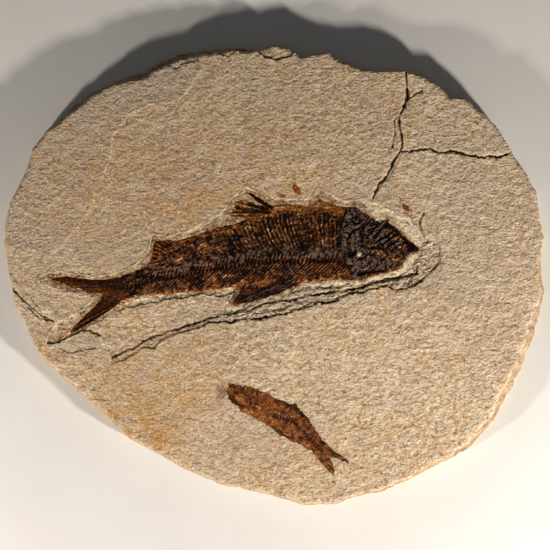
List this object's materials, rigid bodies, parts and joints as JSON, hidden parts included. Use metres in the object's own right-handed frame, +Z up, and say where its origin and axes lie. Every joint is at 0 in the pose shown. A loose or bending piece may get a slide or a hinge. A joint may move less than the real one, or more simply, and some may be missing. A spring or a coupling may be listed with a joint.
{
  "type": "fossil fish slab",
  "caption": "Hand-trimmed oval plate of laminated limestone with a large fossil fish in a prepared hollow and a small fossil fish on the bedding face.",
  "frame": {"origin": "middle of the plate's outline, on its flat underside", "axes": "+X along the large fish toward its snout, +Y toward the plate's far rim, +Z up out of the face that carries the fish"},
  "size_m": [0.369, 0.315, 0.0165],
  "materials": {
    "limestone": "fine-grained pale tan limestone, matt, split along its bedding",
    "fossil_bone_dark": "dark brown to black mineralised bone with a slight sheen",
    "fossil_bone_brown": "thin warm brown film of mineralised bone and skin, matt",
    "fossil_scale_brown": "thin reddish brown fish scale, satin"
  },
  "bodies": {
    "root": {"stone_slab": "limestone", "large_fish": "fossil_bone_dark", "small_fish": "fossil_bone_brown", "loose_scale_1": "fossil_scale_brown", "loose_scale_2": "fossil_scale_brown", "loose_scale_3": "fossil_scale_brown"}
  },
  "joints": []
}
